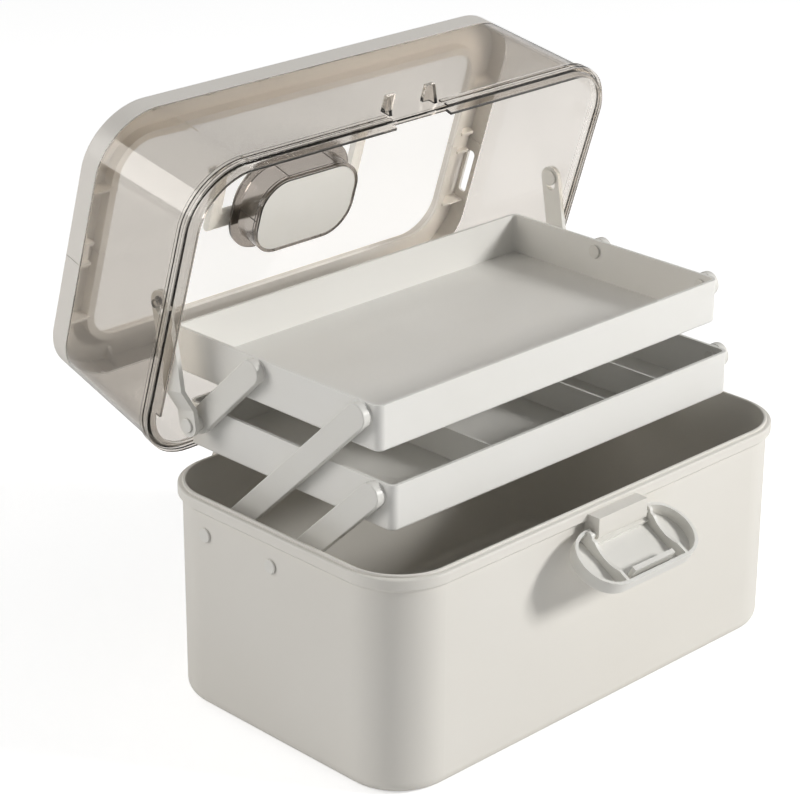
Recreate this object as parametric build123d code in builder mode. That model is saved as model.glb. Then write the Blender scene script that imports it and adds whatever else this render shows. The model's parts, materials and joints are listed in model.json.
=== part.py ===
from build123d import *
from math import asin, atan2, cos, degrees, hypot, radians, sin, sqrt
import os

# Medicine organizer box, shown open: a deep base, two trays that rise on side
# arms, and a clear lid with a framed window and a folding carry handle.
# Millimetres. +X runs along the length, -Y is the latch side, +Z is up.
# The origin is the middle of the flat underside.

# Base box
rim_length = 340.0
rim_depth = 204.0
rim_height = 136.0
rim_corner = 39.0
rim_step = 2.8
rim_band = 10.0
rim_soft = 1.2
ledge_drop = 1.5
bead_soft = 0.7
band_chamfer = 2.4
base_wall = 2.0
base_floor = 2.6
base_edge = 8.0

# Trays
tray_side_room = 23.5
tray_depth_room = 26.4
tray_height = 27.2
tray_corner = 5.0
tray_wall = 2.0
tray_floor = 2.0
tray_edge = 2.0
tray_stack_gap = 1.0
tray_top_above_pivot = 7.3
divider_places = (-53.0, 43.0, 88.0)
divider_thick = 1.6
divider_height = 19.0
divider_gap = 0.3
guide_width = 1.4
guide_reach = 1.8

# Arms and their pivots, seen from the side as (y, z)
rear_pivot_inset = 45.4
base_pivot_drop = 23.0
tray_pivot_pitch = 85.0
tray_front_margin = 12.3
tray_rear_margin = 15.4
lower_arm_length = 80.5
upper_arm_length = 62.2
arm_open_angle = 44.0
arm_width = 15.0
arm_thick = 5.0
arm_tray_gap = 1.6
arm_pocket_wall = 2.2
arm_pocket_depth = 2.6
arm_edge = 0.8
boss_radius = 6.0
tray_ring_radius = 7.3
boss_gap = 0.4

# Pivot studs and the caps pushed into them
tray_stud_radius = 2.9
base_stud_radius = 3.4
running_fit = 0.05
cap_spigot_radius = 1.5
cap_spigot_length = 5.0
cap_radius = 4.3
cap_thick = 1.1
cap_gap = 0.25
stud_end_gap = 0.2

# Lid and its rear hinge
lid_open_angle = 72.6
hinge_behind_rim = 5.8
hinge_drop = 7.8
lid_rim_gap = 0.4
lid_height = 93.6
lid_wall = 2.2
mouth_inset_side = 1.9
mouth_inset_depth = 2.8
mouth_centre = 0.9
top_inset_side = 2.8
top_inset_depth = 8.4
top_centre = 7.2
top_corner_inset = 0.6
lip_proud = 1.0
lower_lip = 2.5
lip_groove = 2.5
upper_lip = 2.0
seal_gap = 0.8
seal_thick = 1.8
seal_drop = 4.0
barrel_radius = 4.0
hinge_pin_radius = 1.5
hinge_inset = 75.0
lid_knuckle = 18.0
base_knuckle = 10.0
knuckle_gap = 0.4

# Lift link from the mid tray to the lid
link_length = 74.6
link_thick = 3.0
link_gap = 4.3
link_play = 0.4
link_collar_radius = 5.2
link_shift = 6.6
link_low_radius = 7.0
link_high_radius = 7.0
link_bend_start = 9.0
link_bend_end = 22.0
slot_travel = 4.4
slot_width = 7.6
lid_stud_radius = 2.5
lid_cap_radius = 5.2

# Off-white frame round the lid's window
frame_band = 14.0
frame_wall = 2.2
frame_top = 2.4
frame_soft = 2.0
frame_gap = 0.1
window_border_side = 21.2
window_border_depth = 22.6
window_corner = 24.0
window_shift = -1.2
lip_thick = 2.0
lip_drop = 9.0
ledge_width = 3.0
ledge_thick = 2.0
rib_thick = 1.6
gusset_drop = 11.0
gusset_reach = 9.0
gusset_pitch = 40.0
gusset_count = 7
side_rib_drop = 8.0
side_rib_shift = 45.0
side_slot_length = 31.0
side_slot_height = 6.0
side_slot_corner = 2.6
side_slot_shift = 24.0
side_slot_drop = 7.8
seam_y = 10.0
seam_gap = 0.5
clip_length = 16.0
clip_width = 10.0
clip_thick = 2.0
clip_cheek = 3.0

# Clear window panel and the finger well hung under it
panel_thick = 2.4
fit_gap = 0.3
well_length = 81.0
well_depth = 53.0
well_corner = 21.0
well_centre = 8.4
well_drop = 25.0
well_wall = 2.0
well_flange = 6.0
well_flange_thick = 2.0
well_ledge = 1.6
cover_thick = 2.0
cover_inset = 0.4
cover_gap = 0.1

# Folding carry handle
handle_length = 122.0
handle_thick = 4.6
handle_arm_width = 8.0
handle_pivot_y = -22.0
handle_reach = 44.0
grip_width = 13.0
handle_pin_radius = 1.5
handle_side_gap = 0.4
lug_thick = 3.2
lug_width = 7.0

# Front latch
latch_before_rim = 5.6
latch_drop = 14.5
latch_open_angle = 120.0
latch_length = 89.0
latch_width = 40.0
latch_corner = 19.4
latch_behind_pin = 4.0
latch_back = -1.0
latch_face = 8.5
latch_plate = 2.2
latch_wall = 2.0
latch_soft = 1.8
latch_rib_place = 24.0
latch_rib_thick = 2.2
latch_rib_dip = 2.5
latch_dip_radius = 24.0
latch_ear_radius = 3.0
latch_cutout_reach = 0.8
latch_bar_width = 3.6
latch_bar_gap = 0.4
latch_pin_radius = 1.5
block_half = 20.5
block_side_gap = 1.2
block_round = 3.2
block_top_drop = 4.0
hook_half = 17.0
hook_thick = 3.0
hook_reach = 1.0
hook_gap = 0.5
catch_hold = 2.2
catch_half = 19.5
catch_thick = 2.4
catch_height = 6.0
catch_width = 7.0
notch_half = 22.0

os.makedirs("parts", exist_ok=True)
sides = ((-1, "left"), (1, "right"))

# Sizes that follow from the driving dimensions
body_length = rim_length - 2 * rim_step
body_depth = rim_depth - 2 * rim_step
inner_length = body_length - 2 * base_wall
inner_depth = body_depth - 2 * base_wall
inner_corner = rim_corner - rim_step - base_wall
wall_out = body_length / 2
hinge_y = rim_depth / 2 + hinge_behind_rim
hinge_z = rim_height - hinge_drop
hinge_place = rim_length / 2 - hinge_inset
latch_y = -rim_depth / 2 - latch_before_rim
latch_z = rim_height - latch_drop
block_high = rim_height - block_top_drop
rear_pivot_y = rim_depth / 2 - rear_pivot_inset
base_pivot_z = rim_height - base_pivot_drop
tray_length = inner_length - 2 * tray_side_room
tray_depth = inner_depth - tray_depth_room
base_pivot_pitch = tray_depth - tray_pivot_pitch - tray_front_margin - tray_rear_margin
tray_half = tray_length / 2
tray_in = tray_half - tray_wall
arm_in = tray_half + arm_tray_gap
arm_out = arm_in + arm_thick
link_in = arm_out + link_gap
link_high_in = link_in + link_shift
stud_bore_radius = cap_spigot_radius + running_fit
arm_closed_angle = degrees(asin((tray_height + tray_stack_gap) / upper_arm_length))


def plus(point, step):
    return (point[0] + step[0], point[1] + step[1])


def arm_step(angle, length):
    """Step (y, z) of an arm that leans forward and up by an angle."""
    return (-length * cos(radians(angle)), length * sin(radians(angle)))


def lid_turned(point, angle):
    """Place of a lid point after the lid turns open by an angle."""
    y = point[0] - hinge_y
    z = point[1] - hinge_z
    c = cos(radians(angle))
    s = sin(radians(angle))
    return (hinge_y + y * c + z * s, hinge_z - y * s + z * c)


# Pivot places, from the base up to the lid
base_rear = (rear_pivot_y, base_pivot_z)
base_front = plus(base_rear, (-base_pivot_pitch, 0))
mid_centre = plus(base_rear, arm_step(arm_open_angle, lower_arm_length))
mid_front = plus(mid_centre, (-base_pivot_pitch, 0))
mid_rear = plus(mid_centre, (tray_pivot_pitch, 0))
top_front = plus(mid_centre, arm_step(arm_open_angle, upper_arm_length))
top_rear = plus(top_front, (tray_pivot_pitch, 0))

# The lid stud is as far from the mid tray's rear pivot when the lid is shut
# as when it is open, so it lies on the line midway between the two places.
shut_centre = plus(base_rear, arm_step(arm_closed_angle, lower_arm_length))
shut_rear = lid_turned(plus(shut_centre, (tray_pivot_pitch, 0)), lid_open_angle)
gap_y = shut_rear[0] - mid_rear[0]
gap_z = shut_rear[1] - mid_rear[1]
gap_length = hypot(gap_y, gap_z)
stud_rise = sqrt(link_length**2 - gap_length**2 / 4)
lid_stud = (
    (shut_rear[0] + mid_rear[0]) / 2 - stud_rise * gap_z / gap_length,
    (shut_rear[1] + mid_rear[1]) / 2 + stud_rise * gap_y / gap_length,
)

# The trays stack in line when shut, so the top tray's front follows the mid's
shut_shift = upper_arm_length * (cos(radians(arm_closed_angle)) - cos(radians(arm_open_angle)))
mid_tray_top = mid_centre[1] + tray_top_above_pivot
mid_tray_front = mid_front[0] - tray_front_margin
top_tray_front = mid_tray_front + shut_shift
top_tray_top = top_front[1] + tray_top_above_pivot

# Lid heights, given for the shut lid
lid_bottom = rim_height + lid_rim_gap
lid_top = lid_bottom + lid_height
frame_bottom = lid_top - frame_band
upper_lip_bottom = lid_bottom + lower_lip + lip_groove
upper_lip_top = upper_lip_bottom + upper_lip
seal_bottom = rim_height - seal_drop
seal_end = inner_depth / 2 - inner_corner
lip_bottom = lid_top - lip_drop
panel_bottom = lip_bottom + ledge_thick
panel_top = panel_bottom + panel_thick
well_top = panel_bottom - running_fit
well_bottom = lid_top - well_drop
handle_z = panel_top + handle_thick / 2 + fit_gap
catch_top = upper_lip_top + catch_height
catch_front = latch_y - latch_back + hook_reach - catch_hold
mouth_half_length = rim_length / 2 - mouth_inset_side
mouth_half_depth = rim_depth / 2 - mouth_inset_depth
mouth_corner = rim_corner - mouth_inset_side
top_half_length = rim_length / 2 - top_inset_side
top_half_depth = rim_depth / 2 - top_inset_depth
top_corner = rim_corner - top_corner_inset
window_length = 2 * (top_half_length - window_border_side)
window_depth = 2 * (top_half_depth - window_border_depth)
window_centre = top_centre + window_shift

lid_plane = Plane(
    origin=(0, hinge_y, hinge_z),
    x_dir=(1, 0, 0),
    z_dir=(0, sin(radians(lid_open_angle)), cos(radians(lid_open_angle))),
)
lid_axis = Axis(lid_plane.origin, lid_plane.z_dir)
latch_plane = Plane(
    origin=(0, latch_y, latch_z),
    x_dir=(1, 0, 0),
    z_dir=(0, -cos(radians(latch_open_angle)), -sin(radians(latch_open_angle))),
)
latch_axis = Axis(latch_plane.origin, latch_plane.z_dir)


def side_plane(x):
    """Plane across the length at x, with local axes y and z."""
    return Plane.YZ.offset(x)


def lid_level(z):
    """Plane of the lid that lies level at height z when the lid is shut."""
    return lid_plane.offset(z - hinge_z)


def lid_side(x):
    """Plane across the lid at x, its local axes from the hinge."""
    corner = lid_plane.origin + Vector(x, 0, 0)
    return Plane(origin=corner, x_dir=lid_plane.y_dir, z_dir=(1, 0, 0))


def in_lid(y, z):
    """Local place on a lid side plane of the shut lid's y and z."""
    return (y - hinge_y, z - hinge_z)


def lid_size(z):
    """Half length, half depth, corner and middle of the lid's outside at height z."""
    share = (z - lid_bottom) / lid_height
    mouth = (mouth_half_length, mouth_half_depth, mouth_corner, mouth_centre)
    top = (top_half_length, top_half_depth, top_corner, top_centre)
    return [low + share * (high - low) for low, high in zip(mouth, top)]


def lid_section(z, inset):
    """Rounded outline of the tapered lid at height z, inset from its outside."""
    half_length, half_depth, corner, middle = lid_size(z)
    with Locations((0, middle - hinge_y)):
        RectangleRounded(2 * (half_length - inset), 2 * (half_depth - inset), corner - inset)


def lid_end(z, end, inset):
    """Local place on a lid side plane of the front or rear wall at height z."""
    half_length, half_depth, corner, middle = lid_size(z)
    return in_lid(middle + end * (half_depth - inset), z)


def lid_taper(low, high, inset, mode=Mode.ADD):
    """Loft of the lid's tapered outline between two heights."""
    with BuildSketch(lid_level(low)) as first:
        lid_section(low, inset)
    with BuildSketch(lid_level(high)) as second:
        lid_section(high, inset)
    loft([first.sketch, second.sketch], mode=mode)


def mouth_outline(inset):
    """Rounded outline of the base's opening in the lid's frame, inset all round."""
    with Locations((0, -hinge_y)):
        RectangleRounded(inner_length - 2 * inset, inner_depth - 2 * inset, inner_corner - inset)


def window_outline(grow, mode=Mode.ADD):
    """Rounded outline of the window opening, grown all round."""
    with Locations((0, window_centre - hinge_y)):
        RectangleRounded(window_length + 2 * grow, window_depth + 2 * grow, window_corner + grow, mode=mode)


def well_outline(grow, mode=Mode.ADD):
    """Rounded outline of the finger well, grown all round."""
    with Locations((0, well_centre - hinge_y)):
        RectangleRounded(well_length + 2 * grow, well_depth + 2 * grow, well_corner + grow, mode=mode)


def in_latch(along, out):
    """Place (y, z) of a point of the open latch, along it from its pin and out to its face."""
    point = latch_plane.from_local_coords(Vector(0, along, out))
    return (point.Y, point.Z)


def slot_between(first, second, width):
    """Round-ended bar outline between two places."""
    middle = ((first[0] + second[0]) / 2, (first[1] + second[1]) / 2)
    reach = hypot(second[0] - first[0], second[1] - first[1])
    lean = degrees(atan2(second[1] - first[1], second[0] - first[0]))
    with Locations(middle):
        SlotCenterToCenter(reach, width, rotation=lean)


def round_bar(plane, centre, radius, amount, mode=Mode.ADD):
    """Cylinder square to a plane."""
    with BuildSketch(plane) as disc:
        with Locations(centre):
            Circle(radius)
    extrude(disc.sketch, amount=amount, mode=mode)


def arm_plate(side, low, high, pivots):
    """Arm between two pivots, hollowed on the tray side round its pivots."""
    with BuildPart(mode=Mode.PRIVATE) as plate:
        with BuildSketch(side_plane(side * arm_in)):
            slot_between(low, high, arm_width)
        extrude(amount=side * arm_thick)
        fillet(plate.faces().sort_by(Axis.X)[-1 if side > 0 else 0].edges(), arm_edge)
        with BuildSketch(side_plane(side * arm_in)):
            slot_between(low, high, arm_width - 2 * arm_pocket_wall)
            with Locations(*pivots):
                Circle(boss_radius - arm_pocket_wall / 2, mode=Mode.SUBTRACT)
        extrude(amount=side * arm_pocket_depth, mode=Mode.SUBTRACT)
    return plate.part


def stud(side, pivot, radius, root, end):
    """Stud along X from root to end, with a bore for a cap's spigot."""
    round_bar(side_plane(side * root), pivot, radius, side * (end - root))
    depth = cap_spigot_length + 2 * stud_end_gap
    inward = 1 if root > end else -1
    round_bar(side_plane(side * end), pivot, stud_bore_radius, side * inward * depth, Mode.SUBTRACT)


def cap(side, pivot, face, outward, radius):
    """Domed cap against the plane at face, with a spigot the other way."""
    with BuildPart(mode=Mode.PRIVATE) as disc:
        round_bar(side_plane(side * face), pivot, radius, side * outward * cap_thick)
        fillet(disc.faces().sort_by(Axis.X)[-1 if side * outward > 0 else 0].edges(), cap_thick / 2)
        round_bar(side_plane(side * face), pivot, cap_spigot_radius, -side * outward * cap_spigot_length)
    return disc.part


# Rim band, which the base's shell takes up
with BuildPart() as band:
    with BuildSketch(Plane.XY.offset(rim_height - rim_band)):
        RectangleRounded(rim_length, rim_depth, rim_corner)
    extrude(amount=rim_band - ledge_drop)
    fillet(band.faces().sort_by(Axis.Z)[-1].edges(), rim_soft)
    chamfer(band.faces().sort_by(Axis.Z)[0].edges(), band_chamfer)

# Room inside the base
with BuildPart() as hollow:
    with BuildSketch(Plane.XY.offset(base_floor)):
        RectangleRounded(inner_length, inner_depth, inner_corner)
    extrude(amount=rim_height)
    fillet(hollow.faces().sort_by(Axis.Z)[0].edges(), base_edge - base_floor)

# Base box: shell, stepped rim, pivot bosses, rear knuckles and latch block
with BuildPart() as base_box:
    with BuildSketch():
        RectangleRounded(body_length, body_depth, rim_corner - rim_step)
    extrude(amount=rim_height)
    fillet(base_box.faces().sort_by(Axis.Z)[0].edges(), base_edge)
    add(band.part)
    with BuildSketch(side_plane(-block_half)):
        with Locations((latch_y, latch_z)):
            Circle(block_round)
        with Locations((latch_y - block_round, latch_z)):
            Rectangle(block_round, block_high - latch_z, align=(Align.MIN, Align.MIN))
        with Locations((latch_y, latch_z - block_round)):
            Rectangle(-latch_y - body_depth / 2 + base_wall / 2, block_high - latch_z + block_round,
                      align=(Align.MIN, Align.MIN))
    extrude(amount=2 * block_half)
    for side, hand in sides:
        for turn in (-1, 1):
            with BuildSketch(side_plane(side * hinge_place + turn * (lid_knuckle / 2 + knuckle_gap))):
                with Locations((hinge_y, hinge_z)):
                    Circle(barrel_radius)
                with Locations(((hinge_y + body_depth / 2) / 2, hinge_z - barrel_radius / 2)):
                    Rectangle(hinge_y - body_depth / 2, barrel_radius)
            extrude(amount=turn * base_knuckle)
    add(hollow.part, mode=Mode.SUBTRACT)
    bead_edges = base_box.edges().filter_by_position(Axis.Z, rim_height - 0.01, rim_height + 0.01)
    fillet(bead_edges, bead_soft)
    for side, hand in sides:
        for pivot in (base_rear, base_front):
            boss_face = arm_out + boss_gap
            round_bar(side_plane(side * boss_face), pivot, boss_radius,
                      side * (wall_out - base_wall / 2 - boss_face))
            round_bar(side_plane(side * arm_out), pivot, base_stud_radius + running_fit,
                      side * (wall_out + rim_step - arm_out), mode=Mode.SUBTRACT)
        round_bar(side_plane(side * (hinge_place - lid_knuckle / 2 - base_knuckle - knuckle_gap)),
                  (hinge_y, hinge_z), hinge_pin_radius + running_fit,
                  side * (lid_knuckle + 2 * base_knuckle + 2 * knuckle_gap), mode=Mode.SUBTRACT)
    round_bar(side_plane(-block_half), (latch_y, latch_z), latch_pin_radius + running_fit,
              2 * block_half, mode=Mode.SUBTRACT)
base_box.part.label = "base_box"
export_step(base_box.part, "parts/base_box.step")

# Trays: shallow open boxes, with raised rings and holes for the arms' studs
tray_places = (
    ("mid_tray", mid_tray_front, mid_tray_top, (mid_front, mid_centre, mid_rear), divider_places),
    ("top_tray", top_tray_front, top_tray_top, (top_front, top_rear), ()),
)
for name, front, top, pivots, places in tray_places:
    middle = front + tray_depth / 2
    floor_top = top - tray_height + tray_floor
    with BuildPart() as tray:
        with BuildSketch(Plane.XY.offset(top - tray_height)):
            with Locations((0, middle)):
                RectangleRounded(tray_length, tray_depth, tray_corner)
        extrude(amount=tray_height)
        fillet(tray.faces().sort_by(Axis.Z)[0].edges(), tray_edge)
        with BuildSketch(Plane.XY.offset(floor_top)):
            with Locations((0, middle)):
                RectangleRounded(tray_length - 2 * tray_wall, tray_depth - 2 * tray_wall,
                                 tray_corner - tray_wall)
        extrude(amount=tray_height, mode=Mode.SUBTRACT)
        for place in places:
            with BuildSketch(Plane.XY.offset(floor_top)):
                for turn in (-1, 1):
                    guide_x = place + turn * (divider_thick / 2 + divider_gap + guide_width / 2)
                    guide_y = tray_depth / 2 - tray_wall - guide_reach / 2
                    with Locations((guide_x, middle - guide_y), (guide_x, middle + guide_y)):
                        Rectangle(guide_width, guide_reach)
            extrude(amount=divider_height)
        for side, hand in sides:
            for pivot in pivots:
                round_bar(side_plane(side * tray_half), pivot, tray_ring_radius,
                          side * (arm_tray_gap - boss_gap))
                round_bar(side_plane(side * arm_in), pivot, tray_stud_radius + running_fit,
                          -side * (arm_tray_gap + 2 * tray_wall), mode=Mode.SUBTRACT)
    tray.part.label = name
    export_step(tray.part, f"parts/{name}.step")

# Loose dividers that slide between the mid tray's guides
with BuildPart() as mid_tray_dividers:
    with BuildSketch(Plane.XY.offset(mid_tray_top - tray_height + tray_floor + divider_gap)):
        for place in divider_places:
            with Locations((place, mid_tray_front + tray_depth / 2)):
                Rectangle(divider_thick, tray_depth - 2 * tray_wall - 2 * divider_gap)
    extrude(amount=divider_height - divider_gap)
mid_tray_dividers.part.label = "mid_tray_dividers"
export_step(mid_tray_dividers.part, "parts/mid_tray_dividers.step")

# Arms, with studs into the trays, the base wall and the lift link
tray_stud_end = tray_in - cap_gap + stud_end_gap
base_stud_end = wall_out + cap_gap - stud_end_gap
link_stud_end = link_in + link_thick + cap_gap - stud_end_gap
for side, hand in sides:
    with BuildPart() as long_arm:
        add(arm_plate(side, base_rear, top_front, (base_rear, mid_centre, top_front)))
        stud(side, mid_centre, tray_stud_radius, arm_in + arm_pocket_depth, tray_stud_end)
        stud(side, top_front, tray_stud_radius, arm_in + arm_pocket_depth, tray_stud_end)
        stud(side, base_rear, base_stud_radius, arm_out - arm_edge, base_stud_end)
    long_arm.part.label = f"long_arm_{hand}"
    export_step(long_arm.part, f"parts/long_arm_{hand}.step")

    with BuildPart() as lower_arm:
        add(arm_plate(side, base_front, mid_front, (base_front, mid_front)))
        stud(side, mid_front, tray_stud_radius, arm_in + arm_pocket_depth, tray_stud_end)
        stud(side, base_front, base_stud_radius, arm_out - arm_edge, base_stud_end)
    lower_arm.part.label = f"lower_arm_{hand}"
    export_step(lower_arm.part, f"parts/lower_arm_{hand}.step")

    with BuildPart() as upper_arm:
        add(arm_plate(side, mid_rear, top_rear, (mid_rear, top_rear)))
        stud(side, top_rear, tray_stud_radius, arm_in + arm_pocket_depth, tray_stud_end)
        stud(side, mid_rear, tray_stud_radius, arm_in + arm_pocket_depth, tray_stud_end)
        round_bar(side_plane(side * (arm_out - arm_edge)), mid_rear, link_collar_radius,
                  side * (link_gap - link_play + arm_edge))
        stud(side, mid_rear, tray_stud_radius, arm_out - arm_edge, link_stud_end)
    upper_arm.part.label = f"upper_arm_{hand}"
    export_step(upper_arm.part, f"parts/upper_arm_{hand}.step")

# Push-in caps that keep the studs in their holes
with BuildPart() as long_arm_caps:
    for side, hand in sides:
        add(cap(side, mid_centre, tray_in - cap_gap, -1, cap_radius))
        add(cap(side, top_front, tray_in - cap_gap, -1, cap_radius))
        add(cap(side, base_rear, wall_out + cap_gap, 1, cap_radius))
long_arm_caps.part.label = "long_arm_caps"
export_step(long_arm_caps.part, "parts/long_arm_caps.step")

with BuildPart() as lower_arm_caps:
    for side, hand in sides:
        add(cap(side, mid_front, tray_in - cap_gap, -1, cap_radius))
        add(cap(side, base_front, wall_out + cap_gap, 1, cap_radius))
lower_arm_caps.part.label = "lower_arm_caps"
export_step(lower_arm_caps.part, "parts/lower_arm_caps.step")

with BuildPart() as upper_arm_caps:
    for side, hand in sides:
        add(cap(side, top_rear, tray_in - cap_gap, -1, cap_radius))
        add(cap(side, mid_rear, tray_in - cap_gap, -1, cap_radius))
        add(cap(side, mid_rear, link_in + link_thick + cap_gap, 1, cap_radius))
upper_arm_caps.part.label = "upper_arm_caps"
export_step(upper_arm_caps.part, "parts/upper_arm_caps.step")

# Lift links: flat strips that step outward, with a slot for the lid's stud
link_y = (lid_stud[0] - mid_rear[0]) / link_length
link_z = (lid_stud[1] - mid_rear[1]) / link_length
link_plane = Plane(origin=(0, *mid_rear), x_dir=(1, 0, 0), z_dir=(0, -link_z, link_y))
slot_low = (lid_stud[0] - slot_travel * link_y, lid_stud[1] - slot_travel * link_z)
link_end = link_length + link_high_radius
for side, hand in sides:
    with BuildPart() as lid_link:
        with BuildSketch(link_plane):
            with BuildLine():
                Polyline(
                    (side * link_in, -link_low_radius),
                    (side * link_in, link_bend_start),
                    (side * link_high_in, link_bend_end),
                    (side * link_high_in, link_end),
                    (side * (link_high_in + link_thick), link_end),
                    (side * (link_high_in + link_thick), link_bend_end),
                    (side * (link_in + link_thick), link_bend_start),
                    (side * (link_in + link_thick), -link_low_radius),
                    close=True,
                )
            make_face()
        extrude(amount=link_low_radius, both=True)
        with BuildSketch(side_plane(side * (link_in - link_play))) as outline:
            with Locations(mid_rear):
                Circle(link_low_radius)
            with Locations(lid_stud):
                Circle(link_high_radius)
            make_hull(outline.edges())
        extrude(amount=side * (link_shift + 2 * link_thick), mode=Mode.INTERSECT)
        round_bar(side_plane(side * (link_in - link_play)), mid_rear, tray_stud_radius + running_fit,
                  side * 2 * link_thick, mode=Mode.SUBTRACT)
        with BuildSketch(side_plane(side * link_high_in)):
            slot_between(slot_low, lid_stud, slot_width)
        extrude(amount=side * link_thick, both=True, mode=Mode.SUBTRACT)
    lid_link.part.label = f"lid_link_{hand}"
    export_step(lid_link.part, f"parts/lid_link_{hand}.step")

# Clear lid shell: tapered walls, double-lipped rim, inner seal, two catch clips and knuckles
with BuildPart() as lid_shell:
    for low, thick in ((lid_bottom, lower_lip), (upper_lip_bottom, upper_lip)):
        with BuildSketch(lid_level(low)):
            lid_section(low, -lip_proud)
        extrude(amount=thick)
    with BuildSketch(lid_level(seal_bottom)):
        mouth_outline(seal_gap)
    extrude(amount=lid_bottom + lower_lip - seal_bottom)
    with BuildSketch(lid_level(seal_bottom)):
        with Locations((0, (seal_end + rim_depth) / 2 - hinge_y)):
            Rectangle(rim_length, rim_depth - seal_end)
        with Locations((0, -rim_depth / 2 - hinge_y)):
            Rectangle(2 * notch_half, rim_corner)
    extrude(amount=lid_bottom - seal_bottom, mode=Mode.SUBTRACT)
    with BuildSketch(lid_level(lid_bottom)):
        with Locations((0, -rim_depth / 2 - hinge_y)):
            Rectangle(2 * notch_half, rim_corner)
    extrude(amount=upper_lip_top - lid_bottom, mode=Mode.SUBTRACT)
    lid_taper(lid_bottom, frame_bottom - frame_gap, 0)
    catch_root = lid_end(catch_top, -1, lid_wall)[0] + hinge_y
    with BuildSketch(lid_level(catch_top)):
        for side, hand in sides:
            with Locations((side * (catch_half - catch_width / 2), (catch_front + catch_root) / 2 - hinge_y)):
                Rectangle(catch_width, catch_root - catch_front)
    extrude(amount=-catch_thick)
    for side, hand in sides:
        with BuildSketch(lid_side(side * catch_half)):
            with BuildLine():
                Polyline(
                    in_lid(catch_front, catch_top),
                    in_lid(catch_root, catch_top),
                    lid_end(upper_lip_bottom, -1, lid_wall / 2),
                    in_lid(catch_front, catch_top - catch_thick),
                    close=True,
                )
            make_face()
        extrude(amount=-side * catch_thick)
        with BuildSketch(lid_side(side * hinge_place)):
            Circle(barrel_radius)
            with Locations((0, (upper_lip_top - hinge_z) / 2)):
                Rectangle(2 * barrel_radius, upper_lip_top - hinge_z)
            knuckle_root = lid_end(lid_bottom, 1, lid_wall / 2)
            with Locations(knuckle_root):
                Rectangle(barrel_radius - knuckle_root[0], upper_lip_top - lid_bottom,
                          align=(Align.MIN, Align.MIN))
        extrude(amount=lid_knuckle / 2, both=True)
        round_bar(lid_side(side * hinge_place), (0, 0), hinge_pin_radius + running_fit,
                  lid_knuckle, mode=Mode.SUBTRACT)
        round_bar(lid_side(side * hinge_place), (0, 0), hinge_pin_radius + running_fit,
                  -lid_knuckle, mode=Mode.SUBTRACT)
    with BuildSketch(lid_level(seal_bottom)):
        mouth_outline(seal_gap + seal_thick)
    extrude(amount=lid_bottom + lower_lip - seal_bottom, mode=Mode.SUBTRACT)
    lid_taper(lid_bottom + lower_lip, frame_bottom + lid_wall, lid_wall, mode=Mode.SUBTRACT)
    for side, hand in sides:
        stud(side, lid_stud, lid_stud_radius, mouth_half_length - lid_wall / 2,
             link_high_in - cap_gap + stud_end_gap)
lid_shell.part.label = "lid_shell"
export_step(lid_shell.part, "parts/lid_shell.step")

with BuildPart() as lid_stud_caps:
    for side, hand in sides:
        add(cap(side, lid_stud, link_high_in - cap_gap, -1, lid_cap_radius))
lid_stud_caps.part.label = "lid_stud_caps"
export_step(lid_stud_caps.part, "parts/lid_stud_caps.step")

# Gussets along the frame's long sides and ribs across its short sides
channel_top = lid_top - frame_top
half_run = (gusset_count - 1) / 2
with BuildPart() as frame_ribs:
    with BuildSketch(lid_level(channel_top)):
        lid_section(channel_top, frame_wall / 2)
        window_outline(lip_thick / 2, mode=Mode.SUBTRACT)
    extrude(amount=-side_rib_drop)
    with BuildSketch(lid_level(channel_top)):
        for turn in (-1, 1):
            with Locations((0, seam_y + turn * side_rib_shift - hinge_y)):
                Rectangle(rim_length, rib_thick)
    extrude(amount=-side_rib_drop, mode=Mode.INTERSECT)
    for step in range(gusset_count):
        for end in (-1, 1):
            with BuildSketch(lid_side((step - half_run) * gusset_pitch - rib_thick / 2)):
                with BuildLine():
                    Polyline(
                        lid_end(channel_top + frame_top / 2, end, frame_wall / 2),
                        lid_end(channel_top - gusset_drop, end, frame_wall / 2),
                        lid_end(channel_top, end, frame_wall + gusset_reach),
                        lid_end(channel_top + frame_top / 2, end, frame_wall + gusset_reach),
                        close=True,
                    )
                make_face()
            extrude(amount=rib_thick)

# Off-white lid frame: outer band, top, ribs, inner lip with a ledge and a side slot
with BuildPart() as lid_frame:
    lid_taper(frame_bottom, lid_top, 0)
    fillet(lid_frame.faces().sort_by(lid_axis)[-1].edges(), frame_soft)
    lid_taper(frame_bottom - frame_wall, channel_top, frame_wall, mode=Mode.SUBTRACT)
    with BuildSketch(lid_level(lip_bottom)):
        window_outline(lip_thick)
    extrude(amount=lip_drop - frame_top / 2)
    add(frame_ribs.part)
    with BuildSketch(lid_level(panel_bottom)):
        window_outline(0)
    extrude(amount=frame_band, mode=Mode.SUBTRACT)
    with BuildSketch(lid_level(lip_bottom)):
        window_outline(-ledge_width)
    extrude(amount=ledge_thick, both=True, mode=Mode.SUBTRACT)
    with BuildSketch(lid_side(top_half_length)):
        with Locations(in_lid(seam_y + side_slot_shift, lid_top - side_slot_drop)):
            RectangleRounded(side_slot_length, side_slot_height, side_slot_corner)
    extrude(amount=2 * frame_wall, both=True, mode=Mode.SUBTRACT)

seam_origin = lid_plane.origin + lid_plane.y_dir * (seam_y - hinge_y)
seam_plane = Plane(origin=seam_origin, x_dir=(1, 0, 0), z_dir=lid_plane.y_dir)
for name, keep, turn in (("lid_frame_front", Keep.BOTTOM, -1), ("lid_frame_rear", Keep.TOP, 1)):
    with BuildPart() as half_frame:
        add(lid_frame.part)
        split(bisect_by=seam_plane.offset(turn * seam_gap / 2), keep=keep)
    half_frame.part.label = name
    export_step(half_frame.part, f"parts/{name}.step")

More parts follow.
